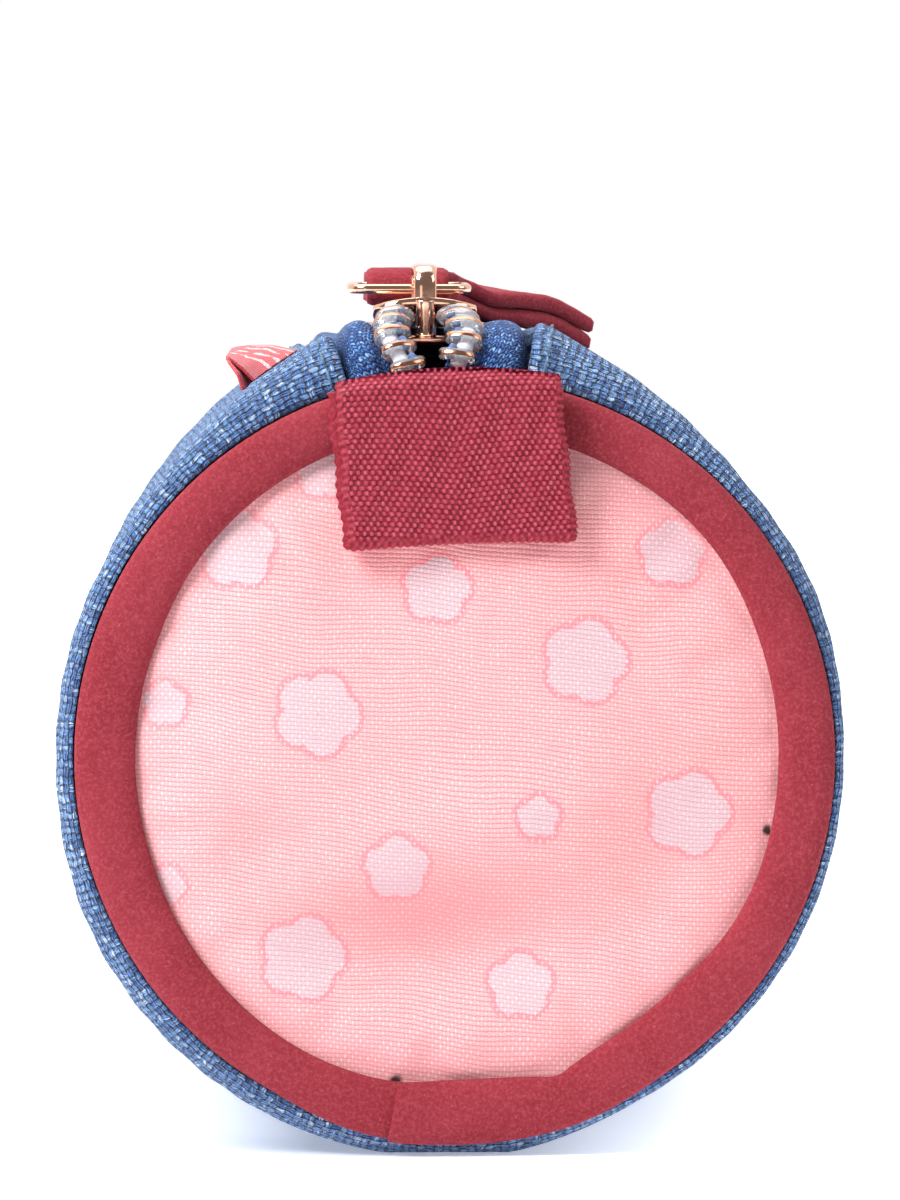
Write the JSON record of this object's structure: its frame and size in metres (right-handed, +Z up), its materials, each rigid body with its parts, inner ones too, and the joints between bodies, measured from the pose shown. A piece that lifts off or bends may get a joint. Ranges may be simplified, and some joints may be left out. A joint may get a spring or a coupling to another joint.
{
  "type": "round pencil case",
  "caption": "Soft round pencil case lying on its side, with a coil zip along the top, printed round ends, a webbing tab and a suede pull.",
  "frame": {"origin": "middle of the flat strip that the case rests on", "axes": "the case's axis along Y, the end with the webbing tab facing -Y, +Z up through the zip"},
  "size_m": [0.0792, 0.2179, 0.0893],
  "materials": {
    "blue_fabric": "coarse melange weave, matt",
    "pink_print": "basket weave with a printed flower pattern, slight sheen",
    "burgundy_suede": "soft brushed microfibre",
    "burgundy_webbing": "heavy herringbone webbing",
    "blue_tape": "knitted zip tape",
    "clear_coil": "clear monofilament coil with a metallic face",
    "rose_gold": "polished rose gold plating",
    "red_ribbon": "satin ribbon with plain woven stripes"
  },
  "bodies": {
    "case": {"body_shell": "blue_fabric", "front_panel": "pink_print", "back_panel": "pink_print", "front_binding": "burgundy_suede", "back_binding": "burgundy_suede", "tape_left": "blue_tape", "tape_right": "blue_tape", "coil_left": "clear_coil", "coil_right": "clear_coil", "slider": "rose_gold", "front_tab": "burgundy_webbing", "side_label": "red_ribbon"},
    "pull": {"pull_ring": "rose_gold", "pull_strap": "burgundy_suede"}
  },
  "joints": [
    {"name": "pull_lift", "type": "hinge", "parent": "case", "child": "pull", "pos_m": [-0.0027, -0.0915, 0.08694], "axis": [1, 0, 0], "range_deg": [0, 165]}
  ]
}
